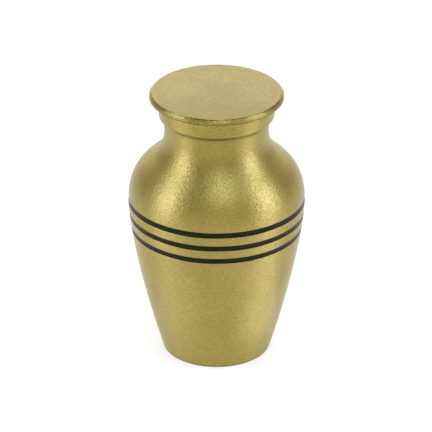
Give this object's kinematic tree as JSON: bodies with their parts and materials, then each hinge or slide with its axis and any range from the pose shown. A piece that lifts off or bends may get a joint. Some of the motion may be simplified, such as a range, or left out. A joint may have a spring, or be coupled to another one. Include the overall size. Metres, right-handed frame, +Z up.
{
  "type": "cremation urn",
  "caption": "Small round-shouldered brass keepsake urn with a flanged lid that plugs into its neck and black enamel rings round the shoulder.",
  "frame": {"origin": "centre of the underside of the foot, on the surface that the urn stands on", "axes": "+Z up along the turning axis, from the foot to the lid; the urn is round, so +X and +Y are any two square directions"},
  "size_m": [0.0476, 0.0476, 0.076],
  "materials": {
    "brass": "satin, turned and brushed round the axis, clear lacquered",
    "black_enamel": "glossy black enamel"
  },
  "bodies": {
    "root": {"body": "brass", "lid": "brass", "upper_enamel_band": "black_enamel", "middle_enamel_band": "black_enamel", "lower_enamel_band": "black_enamel"}
  },
  "joints": []
}
